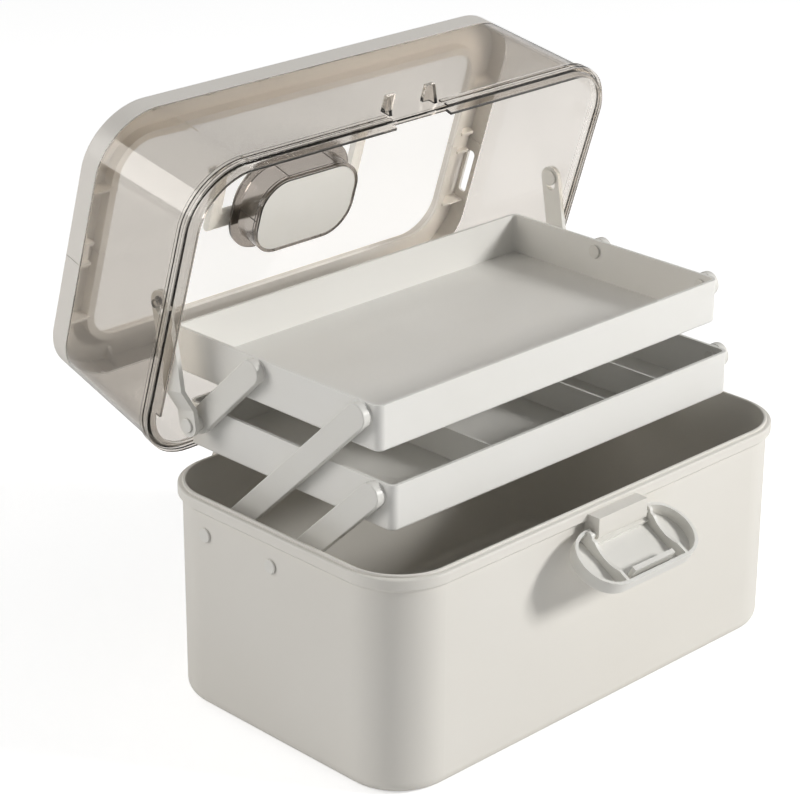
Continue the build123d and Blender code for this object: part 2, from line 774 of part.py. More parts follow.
# Clips that join the two half frames across their channel
with BuildPart() as frame_clips:
    for side, hand in sides:
        clip_x = side * (top_half_length + window_length / 2 + lip_thick - frame_wall) / 2
        with BuildSketch(lid_level(channel_top - frame_gap)):
            with Locations((clip_x, seam_y - hinge_y)):
                Rectangle(clip_width, clip_length)
        extrude(amount=-clip_thick)
        with BuildSketch(lid_level(channel_top - frame_gap - clip_thick)):
            for turn in (-1, 1):
                with Locations((clip_x, seam_y + turn * (clip_length - clip_thick) / 2 - hinge_y)):
                    Rectangle(clip_width, clip_thick)
        extrude(amount=-clip_cheek)
frame_clips.part.label = "frame_clips"
export_step(frame_clips.part, "parts/frame_clips.step")

# Clear window panel, open over the finger well, with lugs for the handle
handle_half = handle_length / 2
outer_lug = handle_half + handle_side_gap + lug_thick / 2
inner_lug = handle_half - handle_arm_width - handle_side_gap - lug_thick / 2
with BuildPart() as window_panel:
    with BuildSketch(lid_level(panel_bottom)):
        window_outline(-fit_gap)
        well_outline(-well_wall, mode=Mode.SUBTRACT)
    extrude(amount=panel_thick)
    for side, hand in sides:
        for x in (outer_lug, inner_lug):
            with BuildSketch(lid_side(side * x)):
                with Locations(in_lid(handle_pivot_y, handle_z)):
                    Circle(handle_thick / 2 + fit_gap)
                with Locations(in_lid(handle_pivot_y, (panel_top + handle_z) / 2)):
                    Rectangle(lug_width, handle_z - panel_top)
            extrude(amount=lug_thick / 2, both=True)
            with BuildSketch(lid_side(side * x)):
                with Locations(in_lid(handle_pivot_y, handle_z)):
                    Circle(handle_pin_radius + running_fit)
            extrude(amount=lug_thick, both=True, mode=Mode.SUBTRACT)
window_panel.part.label = "window_panel"
export_step(window_panel.part, "parts/window_panel.step")

# Finger well: a flanged cup whose open mouth lies under the grip
cover_bottom = well_bottom + cover_inset
cover_top = cover_bottom + cover_thick
with BuildPart() as finger_well:
    with BuildSketch(lid_level(well_bottom)):
        well_outline(0)
    extrude(amount=well_top - well_bottom)
    with BuildSketch(lid_level(well_top)):
        well_outline(well_flange)
    extrude(amount=-well_flange_thick)
    with BuildSketch(lid_level(cover_top + cover_gap)):
        well_outline(-well_wall - well_ledge)
    extrude(amount=well_drop, both=True, mode=Mode.SUBTRACT)
    with BuildSketch(lid_level(cover_top + cover_gap + well_ledge)):
        well_outline(-well_wall)
    extrude(amount=well_drop, mode=Mode.SUBTRACT)
    with BuildSketch(lid_level(cover_top + cover_gap)):
        well_outline(-well_wall)
    extrude(amount=-well_drop, mode=Mode.SUBTRACT)
finger_well.part.label = "finger_well"
export_step(finger_well.part, "parts/finger_well.step")

with BuildPart() as well_cover:
    with BuildSketch(lid_level(cover_bottom)):
        well_outline(-well_wall - cover_gap)
    extrude(amount=cover_thick)
well_cover.part.label = "well_cover"
export_step(well_cover.part, "parts/well_cover.step")

# Carry handle: a flat grip between two arms, folded down on the panel
grip_y = handle_pivot_y + handle_reach - grip_width / 2
grip_half = (grip_width - handle_thick) / 2
with BuildPart() as carry_handle:
    for side, hand in sides:
        with BuildSketch(lid_side(side * (handle_half - handle_arm_width))):
            slot_between(in_lid(handle_pivot_y, handle_z), in_lid(grip_y, handle_z), handle_thick)
        extrude(amount=side * handle_arm_width)
    with BuildSketch(lid_side(-handle_half)):
        slot_between(in_lid(grip_y - grip_half, handle_z), in_lid(grip_y + grip_half, handle_z), handle_thick)
    extrude(amount=handle_length)
    for side, hand in sides:
        round_bar(lid_side(side * (handle_half - handle_arm_width)), in_lid(handle_pivot_y, handle_z),
                  handle_pin_radius + running_fit, side * handle_arm_width, mode=Mode.SUBTRACT)
carry_handle.part.label = "carry_handle"
export_step(carry_handle.part, "parts/carry_handle.step")

with BuildPart() as handle_pins:
    for side, hand in sides:
        round_bar(lid_side(side * (inner_lug - lug_thick / 2)), in_lid(handle_pivot_y, handle_z),
                  handle_pin_radius, side * (outer_lug - inner_lug + lug_thick))
handle_pins.part.label = "handle_pins"
export_step(handle_pins.part, "parts/handle_pins.step")

# Rear hinge pins, through the base's and the lid's knuckles
with BuildPart() as hinge_pins:
    for side, hand in sides:
        pin_half = lid_knuckle / 2 + knuckle_gap + base_knuckle
        round_bar(side_plane(side * hinge_place - pin_half), (hinge_y, hinge_z),
                  hinge_pin_radius, 2 * pin_half)
hinge_pins.part.label = "hinge_pins"
export_step(hinge_pins.part, "parts/hinge_pins.step")

# Front latch: a hollow stadium cover with two inner ribs, a bar and a hook bar
latch_inside = latch_face - latch_plate
latch_middle = latch_width / 2 - latch_behind_pin
hook_low = catch_top + hook_gap - latch_z
cutout_half = block_half + block_side_gap
with BuildPart() as latch:
    with BuildSketch(latch_plane.offset(latch_back)):
        with Locations((0, latch_middle)):
            RectangleRounded(latch_length, latch_width, latch_corner)
    extrude(amount=latch_face - latch_back)
    fillet(latch.faces().sort_by(latch_axis)[-1].edges(), latch_soft)
    with BuildSketch(latch_plane.offset(latch_back)):
        with Locations((0, latch_middle)):
            RectangleRounded(latch_length - 2 * latch_wall, latch_width - 2 * latch_wall,
                             latch_corner - latch_wall)
        for side, hand in sides:
            with Locations((side * (latch_rib_place + latch_rib_thick / 2), latch_middle)):
                Rectangle(latch_rib_thick, latch_width, mode=Mode.SUBTRACT)
    extrude(amount=latch_inside - latch_back, mode=Mode.SUBTRACT)
    for side, hand in sides:
        round_bar(side_plane(side * (latch_rib_place - latch_rib_thick / 2)),
                  in_latch(latch_middle, latch_back + latch_rib_dip - latch_dip_radius),
                  latch_dip_radius, side * 2 * latch_rib_thick, mode=Mode.SUBTRACT)
        round_bar(side_plane(side * latch_rib_place), (latch_y, latch_z), latch_ear_radius,
                  side * latch_rib_thick)
    with BuildSketch(latch_plane.offset(latch_inside)):
        with Locations((0, hook_low + hook_thick / 2)):
            Rectangle(2 * hook_half, hook_thick)
    extrude(amount=-(latch_inside - latch_back + hook_reach))
    with BuildSketch(latch_plane.offset(block_round + latch_bar_gap)):
        with Locations((0, latch_cutout_reach + latch_bar_width / 2)):
            Rectangle(2 * latch_rib_place + latch_rib_thick, latch_bar_width)
    extrude(amount=latch_inside - block_round)
    with BuildSketch(latch_plane.offset(latch_back)):
        with Locations((0, (latch_cutout_reach - latch_behind_pin) / 2)):
            Rectangle(2 * cutout_half, latch_cutout_reach + latch_behind_pin)
    extrude(amount=latch_face - latch_back, mode=Mode.SUBTRACT)
    for side, hand in sides:
        round_bar(side_plane(side * block_half), (latch_y, latch_z), latch_pin_radius + running_fit,
                  side * (latch_rib_place + 2 * latch_rib_thick - block_half), mode=Mode.SUBTRACT)
latch.part.label = "latch"
export_step(latch.part, "parts/latch.step")

with BuildPart() as latch_pin:
    pin_half = latch_rib_place + latch_rib_thick
    round_bar(side_plane(-pin_half), (latch_y, latch_z), latch_pin_radius, 2 * pin_half)
latch_pin.part.label = "latch_pin"
export_step(latch_pin.part, "parts/latch_pin.step")
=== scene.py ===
"""Medicine organizer box: finishes, small mouldings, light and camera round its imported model."""

import json
import math

import bmesh
import bpy
from mathutils import Matrix, Vector


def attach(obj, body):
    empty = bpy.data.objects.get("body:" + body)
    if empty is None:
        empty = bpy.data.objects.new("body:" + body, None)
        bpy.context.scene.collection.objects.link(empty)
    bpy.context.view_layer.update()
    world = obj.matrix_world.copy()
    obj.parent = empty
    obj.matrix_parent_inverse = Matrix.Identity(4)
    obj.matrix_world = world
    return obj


bl_info = {
    "name": "Medicine Organizer Box",
    "version": (1, 0, 0),
    "blender": (4, 5, 0),
    "location": "View3D > Sidebar > Organizer",
    "description": "Finishes a lidded box with rising trays, one operator for each group of pieces",
    "category": "Add Mesh",
}

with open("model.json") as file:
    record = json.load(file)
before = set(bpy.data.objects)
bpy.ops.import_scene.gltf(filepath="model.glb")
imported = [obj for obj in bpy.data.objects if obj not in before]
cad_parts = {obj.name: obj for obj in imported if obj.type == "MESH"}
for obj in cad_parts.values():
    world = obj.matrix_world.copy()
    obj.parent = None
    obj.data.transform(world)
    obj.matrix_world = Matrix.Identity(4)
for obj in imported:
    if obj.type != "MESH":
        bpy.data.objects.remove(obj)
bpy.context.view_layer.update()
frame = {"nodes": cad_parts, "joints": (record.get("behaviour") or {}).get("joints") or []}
LID_HINGE = next(joint for joint in frame["joints"] if joint["name"] == "lid_hinge")

# Fixed values of the finishes and the light

WARM_SHIFT = (0.955, 0.94545, 0.921575)
CLEAR_IOR = 1.46
RIPPLE_SIZE = 0.02
RIPPLE_DEPTH = 0.00012
# Object X range over which the clear walls get a painted dark reflection, darkest at the left end
DARK_REFLECTION_FROM = -0.15
DARK_REFLECTION_TO = -0.05
LIGHT_TARGET = (0.0, 0.0, 0.15)
KEY_PLACE = (1.3, -1.95, 1.15)
KEY_SIZE = 0.5
KEY_TINT = (1.0, 0.99, 0.97)
FILL_PLACE = (-1.9, 1.3, 1.1)
FILL_SIZE = 1.4
FILL_TINT = (1.0, 0.98, 0.95)
FLOOR_HALF = 6.0
FLOOR_GLOW = 0.55
DIM_SIDE = (-0.7, -0.71, 0.05)
DIM_SIDE_SHARE = 0.15
DIM_OVERHEAD_SHARE = 0.12
WHITE = (1.0, 1.0, 1.0, 1.0)


# Values that a user would change


def length(name, text, default):
    """Float property for a size in metres."""
    return bpy.props.FloatProperty(
        name=name, description=text, default=default, min=0.0, subtype="DISTANCE", unit="LENGTH"
    )


def colour(name, text, default):
    """Colour property, as the eye sees it on a screen."""
    return bpy.props.FloatVectorProperty(
        name=name, description=text, default=default, size=3, min=0.0, max=1.0, subtype="COLOR_GAMMA"
    )


def share(name, text, default):
    """Float property from 0 to 1."""
    return bpy.props.FloatProperty(
        name=name, description=text, default=default, min=0.0, max=1.0, subtype="FACTOR"
    )


class OrganizerColours(bpy.types.PropertyGroup):
    """Colours of the moulded plastics and the steel."""

    base: colour("Base", "Off-white of the deep base", (0.905, 0.893, 0.868))
    tray: colour("Trays", "Paler off-white of the trays and dividers", (0.93, 0.926, 0.912))
    arm: colour("Arms", "Off-white of the arms, links and caps", (0.905, 0.9, 0.882))
    lid_frame: colour("Lid frame", "Off-white of the frame round the window", (0.915, 0.9, 0.878))
    latch: colour("Latch", "Off-white of the latch and the handle", (0.92, 0.915, 0.898))
    clear: colour("Clear walls", "Tint of the clear lid walls", (0.888, 0.869, 0.845))
    window: colour("Window", "Tint of the clear window panel", (0.975, 0.968, 0.958))
    smoke: colour("Finger well", "Tint of the smoky well", (0.66, 0.63, 0.6))
    line: colour("Well lines", "Shade of the lines moulded down the well", (0.36, 0.34, 0.31))
    steel: colour("Pins", "Colour of the steel pins", (0.66, 0.655, 0.645))


class OrganizerFinish(bpy.types.PropertyGroup):
    """How the surfaces are finished."""

    grain_size: length("Grain", "Size of the moulded surface's fine grain", 0.0009)
    grain_depth: length("Grain depth", "Depth of the fine grain", 0.000012)
    satin: share("Satin roughness", "Roughness of the off-white plastic", 0.36)
    gloss: share("Gloss roughness", "Roughness of the clear plastic", 0.04)
    mottle: share("Mottle", "How much the off-white drifts in tone", 0.22)


class OrganizerWell(bpy.types.PropertyGroup):
    """Sizes of the moulded lines down the finger well."""

    well_length: length("Well length", "Length of the well's outline", 0.081)
    well_depth: length("Well depth", "Depth of the well's outline", 0.053)
    well_corner: length("Well corner", "Corner radius of the well's outline", 0.021)
    line_radius: length("Line radius", "Radius of the moulded lines", 0.00035)
    line_drop: length("Line drop", "How far the lines run down the well", 0.0145)
    line_place: bpy.props.FloatVectorProperty(
        name="Line place", description="Middle of the lines in the shut lid, from the base's middle", size=3,
        subtype="XYZ", unit="LENGTH", default=(0.0, 0.0084, 0.2134),
    )


class OrganizerStage(bpy.types.PropertyGroup):
    """Camera and light."""

    camera_place: bpy.props.FloatVectorProperty(
        name="Camera place", description="Where the camera stands", size=3, subtype="XYZ", unit="LENGTH",
        default=(-1.04859, -0.99493, 0.77564),
    )
    camera_heading: bpy.props.FloatProperty(
        name="Heading", description="Turn of the view from +Y towards +X", subtype="ANGLE",
        default=math.radians(44.57),
    )
    camera_dip: bpy.props.FloatProperty(
        name="Dip", description="How far the view looks down", subtype="ANGLE", default=math.radians(22.94)
    )
    camera_roll: bpy.props.FloatProperty(
        name="Roll", description="Turn of the picture about the view", subtype="ANGLE",
        default=math.radians(0.26),
    )
    lens: bpy.props.FloatProperty(name="Lens", description="Focal length in millimetres", default=120.3)
    key_power: bpy.props.FloatProperty(
        name="Key light", description="Watts of the main light", default=44.0
    )
    fill_power: bpy.props.FloatProperty(
        name="Fill light", description="Watts of the side light", default=24.0
    )
    sky: bpy.props.FloatProperty(name="Sky", description="Strength of the even light", default=0.36)


# Shader helpers


def linear(shown):
    """Linear colour with alpha for a colour as shown on a screen."""
    return tuple(c / 12.92 if c <= 0.04045 else ((c + 0.055) / 1.055) ** 2.4 for c in shown) + (1.0,)


def shaded(rgba, factor):
    """Colour made darker, its alpha kept."""
    return tuple(c * factor for c in rgba[:3]) + (rgba[3],)


def node(tree, kind, place, **inputs):
    """New node with its inputs set by name."""
    made = tree.nodes.new(kind)
    made.location = place
    for name, value in inputs.items():
        made.inputs[name.replace("_", " ")].default_value = value
    return made


def join(tree, *pairs):
    """Links for (node, output, node, input) rows."""
    for source, output, target, entry in pairs:
        tree.links.new(source.outputs[output], target.inputs[entry])


def shader_group(name, inputs, outputs):
    """Empty shader group with named sockets; returns its tree and its two end nodes."""
    tree = bpy.data.node_groups.new(name, "ShaderNodeTree")
    kinds = {"vector": "NodeSocketVector", "value": "NodeSocketFloat", "colour": "NodeSocketColor"}
    for label, kind, default in inputs:
        socket = tree.interface.new_socket(label, in_out="INPUT", socket_type=kinds[kind])
        if default is not None:
            socket.default_value = default
    for label, kind in outputs:
        tree.interface.new_socket(label, in_out="OUTPUT", socket_type=kinds[kind])
    entry = tree.nodes.new("NodeGroupInput")
    entry.location = (-900, 0)
    leave = tree.nodes.new("NodeGroupOutput")
    leave.location = (600, 0)
    return tree, entry, leave


def make_grain_group():
    """Fine moulded grain over slow waves in the surface, as a height."""
    tree, entry, leave = shader_group(
        "Moulded Grain",
        [("Vector", "vector", None), ("Grain Scale", "value", 900.0), ("Wave Scale", "value", 14.0),
         ("Wave Share", "value", 0.6)],
        [("Height", "value")],
    )
    fine = node(tree, "ShaderNodeTexNoise", (-600, 120), Detail=2.0, Roughness=0.6)
    wave = node(tree, "ShaderNodeTexNoise", (-600, -160), Detail=1.0, Roughness=0.4)
    add = tree.nodes.new("ShaderNodeMix")
    add.location = (-200, 0)
    join(
        tree,
        (entry, "Vector", fine, "Vector"), (entry, "Grain Scale", fine, "Scale"),
        (entry, "Vector", wave, "Vector"), (entry, "Wave Scale", wave, "Scale"),
        (entry, "Wave Share", add, 0), (fine, 0, add, 2), (wave, 0, add, 3), (add, 0, leave, 0),
    )
    return tree


def make_tone_group():
    """Slow drift of a colour between its own tone and a second one, with small specks."""
    tree, entry, leave = shader_group(
        "Plastic Tone",
        [("Vector", "vector", None), ("Colour", "colour", (0.8, 0.8, 0.8, 1.0)),
         ("Second Colour", "colour", (0.7, 0.7, 0.7, 1.0)), ("Drift", "value", 0.25),
         ("Drift Scale", "value", 9.0), ("Specks", "value", 0.08)],
        [("Colour", "colour")],
    )
    slow = node(tree, "ShaderNodeTexNoise", (-700, 150), Detail=3.0, Roughness=0.55)
    fine = node(tree, "ShaderNodeTexNoise", (-700, -150), Scale=420.0, Detail=2.0, Roughness=0.7)
    spread = node(tree, "ShaderNodeMapRange", (-480, 150), From_Min=0.32, From_Max=0.68)
    amount = tree.nodes.new("ShaderNodeMath")
    amount.operation = "MULTIPLY"
    amount.location = (-260, 150)
    first = tree.nodes.new("ShaderNodeMix")
    first.data_type = "RGBA"
    first.location = (0, 150)
    speck = node(tree, "ShaderNodeMapRange", (-480, -150), From_Min=0.60, From_Max=0.80)
    speck_share = tree.nodes.new("ShaderNodeMath")
    speck_share.operation = "MULTIPLY"
    speck_share.location = (-260, -150)
    second = tree.nodes.new("ShaderNodeMix")
    second.data_type = "RGBA"
    second.location = (250, 50)
    join(
        tree,
        (entry, "Vector", slow, "Vector"), (entry, "Drift Scale", slow, "Scale"),
        (entry, "Vector", fine, "Vector"), (slow, 0, spread, 0), (spread, 0, amount, 0),
        (entry, "Drift", amount, 1), (amount, 0, first, 0), (entry, "Colour", first, 6),
        (entry, "Second Colour", first, 7), (fine, 0, speck, 0), (speck, 0, speck_share, 0),
        (entry, "Specks", speck_share, 1), (speck_share, 0, second, 0), (first, 2, second, 6),
        (entry, "Second Colour", second, 7), (second, 2, leave, "Colour"),
    )
    return tree


def make_rub_group():
    """Faint rubbed streaks that change the roughness along one direction."""
    tree, entry, leave = shader_group(
        "Rubbed Gloss",
        [("Vector", "vector", None), ("Roughness", "value", 0.35), ("Change", "value", 0.10),
         ("Stretch", "vector", (4.0, 60.0, 60.0))],
        [("Roughness", "value")],
    )
    place = tree.nodes.new("ShaderNodeVectorMath")
    place.operation = "MULTIPLY"
    place.location = (-650, 0)
    streak = node(tree, "ShaderNodeTexNoise", (-430, 0), Scale=1.0, Detail=4.0, Roughness=0.65)
    spread = node(tree, "ShaderNodeMapRange", (-210, 0), From_Min=0.35, From_Max=0.7)
    scaled = tree.nodes.new("ShaderNodeMath")
    scaled.operation = "MULTIPLY_ADD"
    scaled.location = (50, 0)
    join(
        tree,
        (entry, "Vector", place, 0), (entry, "Stretch", place, 1), (place, 0, streak, "Vector"),
        (streak, 0, spread, 0), (spread, 0, scaled, 0), (entry, "Change", scaled, 1),
        (entry, "Roughness", scaled, 2), (scaled, 0, leave, 0),
    )
    return tree


GROUPS = {}


def shared_group(name):
    """Shader group by name, built the first time it is used."""
    if name not in GROUPS:
        makers = {
            "Moulded Grain": make_grain_group,
            "Plastic Tone": make_tone_group,
            "Rubbed Gloss": make_rub_group,
        }
        GROUPS[name] = makers[name]()
    return GROUPS[name]


def place_group(tree, name, place, **inputs):
    """Group node in a material, with its own values."""
    made = node(tree, "ShaderNodeGroup", place)
    made.node_tree = shared_group(name)
    for label, value in inputs.items():
        made.inputs[label.replace("_", " ")].default_value = value
    return made


def new_material(name):
    """Material with a Principled shader, its tree, and Object coordinates."""
    made = bpy.data.materials.new(name)
    made.use_nodes = True
    tree = made.node_tree
    tree.nodes.clear()
    surface = tree.nodes.new("ShaderNodeOutputMaterial")
    surface.location = (700, 0)
    shader = tree.nodes.new("ShaderNodeBsdfPrincipled")
    shader.location = (300, 0)
    coords = tree.nodes.new("ShaderNodeTexCoord")
    coords.location = (-900, 0)
    join(tree, (shader, 0, surface, 0))
    return made, tree, shader, coords, surface


def grain_bump(tree, coords, shader, grain, depth, wave):
    """Bump from the moulded grain."""
    height = place_group(tree, "Moulded Grain", (-300, -350), Grain_Scale=1 / grain, Wave_Share=wave)
    bump = node(tree, "ShaderNodeBump", (0, -350), Strength=1.0, Distance=depth)
    join(
        tree,
        (coords, "Object", height, "Vector"), (height, 0, bump, "Height"), (bump, 0, shader, "Normal"),
    )


def off_white(name, shown, roughness, drift_scale=9.0, stretch=(4.0, 60.0, 60.0)):
    """Satin moulded plastic with a slow drift of tone, fine grain and rubbed streaks."""
    finish = bpy.context.scene.organizer_finish
    made, tree, shader, coords, surface = new_material(name)
    first = linear(shown)
    second = tuple(c * shift for c, shift in zip(first, WARM_SHIFT)) + (1.0,)
    tone = place_group(
        tree, "Plastic Tone", (-300, 250), Colour=first, Second_Colour=second,
        Drift=finish.mottle * 2.0, Drift_Scale=drift_scale,
    )
    rub = place_group(
        tree, "Rubbed Gloss", (-300, -50), Roughness=roughness, Change=0.12, Stretch=stretch
    )
    join(
        tree,
        (coords, "Object", tone, "Vector"), (tone, "Colour", shader, "Base Color"),
        (coords, "Object", rub, "Vector"), (rub, 0, shader, "Roughness"),
    )
    grain_bump(tree, coords, shader, finish.grain_size, finish.grain_depth, wave=0.6)
    return made


def clear_plastic(name, shown, roughness, shadow=0.9, patch=0.8, left_dark_reflection=1.0):
    """Clear moulded plastic: it refracts, lets tinted light through, and may carry a painted dark reflection
    that darkens its tint towards the left.
    """
    made, tree, shader, coords, surface = new_material(name)
    tint = linear(shown)
    tone = place_group(
        tree, "Plastic Tone", (-300, 250), Colour=tint, Second_Colour=shaded(tint, patch), Drift=0.9,
        Drift_Scale=5.0, Specks=0.0,
    )
    rub = place_group(
        tree, "Rubbed Gloss", (-300, -50), Roughness=roughness, Change=0.05, Stretch=(6.0, 30.0, 30.0)
    )
    # Painted dark reflection: the tint darkens towards the left end along Object X
    along = node(tree, "ShaderNodeSeparateXYZ", (-500, 500))
    toward = node(
        tree, "ShaderNodeMapRange", (-300, 500), From_Min=DARK_REFLECTION_FROM, From_Max=DARK_REFLECTION_TO, To_Min=1.0,
        To_Max=0.0,
    )
    dark_reflection_mix = tree.nodes.new("ShaderNodeMix")
    dark_reflection_mix.data_type = "RGBA"
    dark_reflection_mix.location = (0, 300)
    dark_reflection_mix.inputs[7].default_value = shaded(tint, left_dark_reflection)
    join(
        tree,
        (coords, "Object", tone, "Vector"), (coords, "Object", along, 0), (along, "X", toward, 0),
        (toward, 0, dark_reflection_mix, 0), (tone, "Colour", dark_reflection_mix, 6), (dark_reflection_mix, 2, shader, "Base Color"),
        (coords, "Object", rub, "Vector"), (rub, 0, shader, "Roughness"),
    )
    grain_bump(tree, coords, shader, RIPPLE_SIZE, RIPPLE_DEPTH, wave=1.0)
    shader.inputs["Transmission Weight"].default_value = 1.0
    shader.inputs["IOR"].default_value = CLEAR_IOR
    through = node(tree, "ShaderNodeBsdfTransparent", (300, -450))
    through.inputs["Color"].default_value = shaded(tint, shadow)
    path = tree.nodes.new("ShaderNodeLightPath")
    path.location = (300, 400)
    mix = tree.nodes.new("ShaderNodeMixShader")
    mix.location = (520, 0)
    join(
        tree,
        (path, "Is Shadow Ray", mix, 0), (shader, 0, mix, 1), (through, 0, mix, 2), (mix, 0, surface, 0),
    )
    return made


def steel(name, shown):
    """Drawn steel wire, its fine lines along the pin."""
    made, tree, shader, coords, surface = new_material(name)
    tint = linear(shown)
    tone = place_group(
        tree, "Plastic Tone", (-300, 250), Colour=tint, Second_Colour=shaded(tint, 0.8), Drift=0.5,
        Drift_Scale=120.0,
    )
    rub = place_group(
        tree, "Rubbed Gloss", (-300, -50), Roughness=0.22, Change=0.2, Stretch=(20.0, 1500.0, 1500.0)
    )
    join(
        tree,
        (coords, "Object", tone, "Vector"), (tone, "Colour", shader, "Base Color"),
        (coords, "Object", rub, "Vector"), (rub, 0, shader, "Roughness"),
    )
    shader.inputs["Metallic"].default_value = 1.0
    grain_bump(tree, coords, shader, 0.0004, 0.000006, wave=0.2)
    return made


def dress(material, *names):
    """Give CAD nodes a material."""
    for name in names:
        slots = frame["nodes"][name].data.materials
        slots.clear()
        slots.append(material)


# Geometry Nodes lines round the well


def make_line_tree():
    """Fine lines down the wall of a rounded cup, at its two ends and where its corners begin."""
    tree = bpy.data.node_groups.new("Moulded Lines", "GeometryNodeTree")
    for label, default in (
        ("Length", 0.08), ("Depth", 0.05), ("Corner", 0.02), ("Radius", 0.0004), ("Drop", 0.014)
    ):
        socket = tree.interface.new_socket(label, in_out="INPUT", socket_type="NodeSocketFloat")
        socket.default_value = default
    tree.interface.new_socket("Material", in_out="INPUT", socket_type="NodeSocketMaterial")
    tree.interface.new_socket("Geometry", in_out="OUTPUT", socket_type="NodeSocketGeometry")
    entry = tree.nodes.new("NodeGroupInput")
    straight = tree.nodes.new("ShaderNodeMath")
    straight.operation = "MULTIPLY_ADD"
    straight.inputs[1].default_value = -2.0
    corners = tree.nodes.new("GeometryNodeCurvePrimitiveQuadrilateral")
    half = tree.nodes.new("ShaderNodeMath")
    half.operation = "MULTIPLY"
    half.inputs[1].default_value = 0.5
    back = tree.nodes.new("ShaderNodeMath")
    back.operation = "MULTIPLY"
    back.inputs[1].default_value = -0.5
    first = tree.nodes.new("ShaderNodeCombineXYZ")
    last = tree.nodes.new("ShaderNodeCombineXYZ")
    ends = tree.nodes.new("GeometryNodeCurvePrimitiveLine")
    places = tree.nodes.new("GeometryNodeJoinGeometry")
    rod = tree.nodes.new("GeometryNodeMeshCylinder")
    rod.inputs["Vertices"].default_value = 12
    spread = tree.nodes.new("GeometryNodeInstanceOnPoints")
    real = tree.nodes.new("GeometryNodeRealizeInstances")
    paint = tree.nodes.new("GeometryNodeSetMaterial")
    leave = tree.nodes.new("NodeGroupOutput")
    order = (
        entry, straight, half, back, first, last, corners, ends, places, rod, spread, real, paint, leave
    )
    for step, made in enumerate(order):
        made.location = (180 * step - 1200, 0)
    join(
        tree,
        (entry, "Corner", straight, 0), (entry, "Length", straight, 2), (straight, 0, corners, "Width"),
        (entry, "Depth", corners, "Height"), (entry, "Length", half, 0), (entry, "Length", back, 0),
        (half, 0, last, "X"), (back, 0, first, "X"), (first, 0, ends, "Start"), (last, 0, ends, "End"),
        (corners, 0, places, 0), (ends, 0, places, 0), (entry, "Radius", rod, "Radius"),
        (entry, "Drop", rod, "Depth"), (places, 0, spread, "Points"), (rod, 0, spread, "Instance"),
        (spread, 0, real, 0), (real, 0, paint, "Geometry"), (entry, "Material", paint, "Material"),
        (paint, 0, leave, 0),
    )
    return tree


def grown(name, tree, place, **inputs):
    """Plain mesh object made by a Geometry Nodes tree and set at its place."""
    seed = bpy.data.objects.new(name, bpy.data.meshes.new(name))
    bpy.context.scene.collection.objects.link(seed)
    maker = seed.modifiers.new("maker", "NODES")
    maker.node_group = tree
    for item in tree.interface.items_tree:
        if item.in_out == "INPUT":
            maker[item.identifier] = inputs[item.name]
    context = bpy.context.evaluated_depsgraph_get()
    mesh = bpy.data.meshes.new_from_object(seed.evaluated_get(context))
    seed.modifiers.remove(maker)
    mesh.transform(place)
    seed.data = mesh
    mesh.name = name
    return seed


# Operators, one for each group of pieces


class ORGANIZER_OT_base(bpy.types.Operator):
    """Finish the deep base box"""

    bl_idname = "organizer.base"
    bl_label = "Base box"

    def execute(self, context):
        scene = context.scene
        base = off_white(
            "Base Satin", scene.organizer_colours.base, scene.organizer_finish.satin, drift_scale=6.0
        )
        dress(base, "base_box")
        return {"FINISHED"}


class ORGANIZER_OT_trays(bpy.types.Operator):
    """Finish the two trays and the loose dividers"""

    bl_idname = "organizer.trays"
    bl_label = "Trays and dividers"

    def execute(self, context):
        colours = context.scene.organizer_colours
        dress(off_white("Tray Satin", colours.tray, 0.32), "mid_tray", "top_tray")
        dress(off_white("Divider Satin", colours.tray, 0.38, drift_scale=20.0), "mid_tray_dividers")
        return {"FINISHED"}


class ORGANIZER_OT_arms(bpy.types.Operator):
    """Finish the arms, the lift links and their caps"""

    bl_idname = "organizer.arms"
    bl_label = "Arms and links"

    def execute(self, context):
        colours = context.scene.organizer_colours
        arm = off_white("Arm Satin", colours.arm, 0.34, drift_scale=18.0, stretch=(60.0, 14.0, 14.0))
        for hand in ("left", "right"):
            dress(arm, f"long_arm_{hand}", f"lower_arm_{hand}", f"upper_arm_{hand}", f"lid_link_{hand}")
        cap = off_white("Cap Satin", colours.arm, 0.28, drift_scale=60.0)
        dress(cap, "long_arm_caps", "lower_arm_caps", "upper_arm_caps", "lid_stud_caps")
        return {"FINISHED"}


class ORGANIZER_OT_lid(bpy.types.Operator):
    """Finish the clear lid walls, the window and the off-white frame"""

    bl_idname = "organizer.lid"
    bl_label = "Lid"

    def execute(self, context):
        scene = context.scene
        colours = scene.organizer_colours
        # The last value paints a dark reflection over the left end of the clear walls
        wall = clear_plastic("Clear Wall", colours.clear, scene.organizer_finish.gloss, left_dark_reflection=0.78)
        dress(wall, "lid_shell")
        dress(clear_plastic("Clear Window", colours.window, 0.02, patch=0.96), "window_panel")
        dress(
            off_white("Frame Satin", colours.lid_frame, 0.33),
            "lid_frame_front", "lid_frame_rear", "frame_clips",
        )
        return {"FINISHED"}


class ORGANIZER_OT_well(bpy.types.Operator):
    """Finish the finger well and its inset face, and add the lines moulded down the well"""

    bl_idname = "organizer.well"
    bl_label = "Finger well"

    def execute(self, context):
        colours = context.scene.organizer_colours
        dress(clear_plastic("Smoky Well", colours.smoke, 0.12, shadow=0.8, patch=0.9), "finger_well")
        dress(off_white("Well Face", colours.latch, 0.3, drift_scale=30.0), "well_cover")
        values = context.scene.organizer_well
        hinge = Vector(LID_HINGE["pos_m"])
        lid_open = math.radians(LID_HINGE["range_deg"][1])
        place = (
            Matrix.Translation(hinge) @ Matrix.Rotation(-lid_open, 4, "X")
            @ Matrix.Translation(Vector(values.line_place) - hinge)
        )
        lines = grown(
            "well_lines", make_line_tree(), place, Length=values.well_length, Depth=values.well_depth,
            Corner=values.well_corner, Radius=values.line_radius, Drop=values.line_drop,
            Material=off_white("Line Shade", colours.line, 0.4, drift_scale=40.0),
        )
        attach(lines, "lid")
        return {"FINISHED"}


